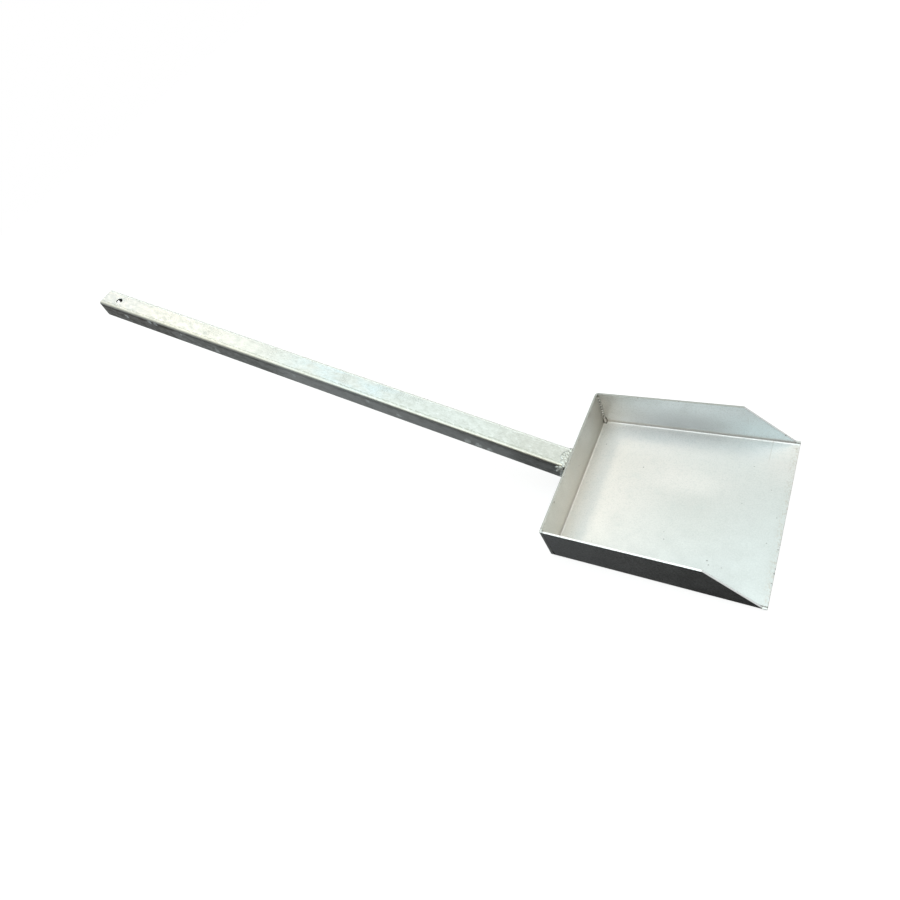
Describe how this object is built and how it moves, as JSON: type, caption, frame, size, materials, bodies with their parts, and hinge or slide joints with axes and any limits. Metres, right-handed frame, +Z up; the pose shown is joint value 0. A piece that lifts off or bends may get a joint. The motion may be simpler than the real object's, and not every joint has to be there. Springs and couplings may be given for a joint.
{
  "type": "feed scoop",
  "caption": "Open-fronted folded steel pan on a long upward-rising square-tube handle with a hanging hole, for scooping feed or bedding.",
  "frame": {"origin": "centre of the pan's flat underside, halfway between the rear wall's outer face and the lip", "axes": "+X forward over the lip, +Y the scoop's left side, +Z up from the pan's floor; the handle leaves towards -X and rises 20 degrees"},
  "size_m": [0.8194, 0.18, 0.2723],
  "materials": {
    "zinc_sheet": "satin zinc-coated sheet steel, lightly scuffed",
    "zinc_tube": "mottled zinc-coated tube with faint yellow-green and blue tints",
    "weld": "rippled as-welded bead under zinc"
  },
  "bodies": {
    "root": {"pan_sheet": "zinc_sheet", "handle_tube": "zinc_tube", "corner_weld_left": "weld", "corner_weld_right": "weld", "handle_weld_top": "weld", "handle_weld_bottom": "weld", "handle_weld_left": "weld", "handle_weld_right": "weld"}
  },
  "joints": []
}
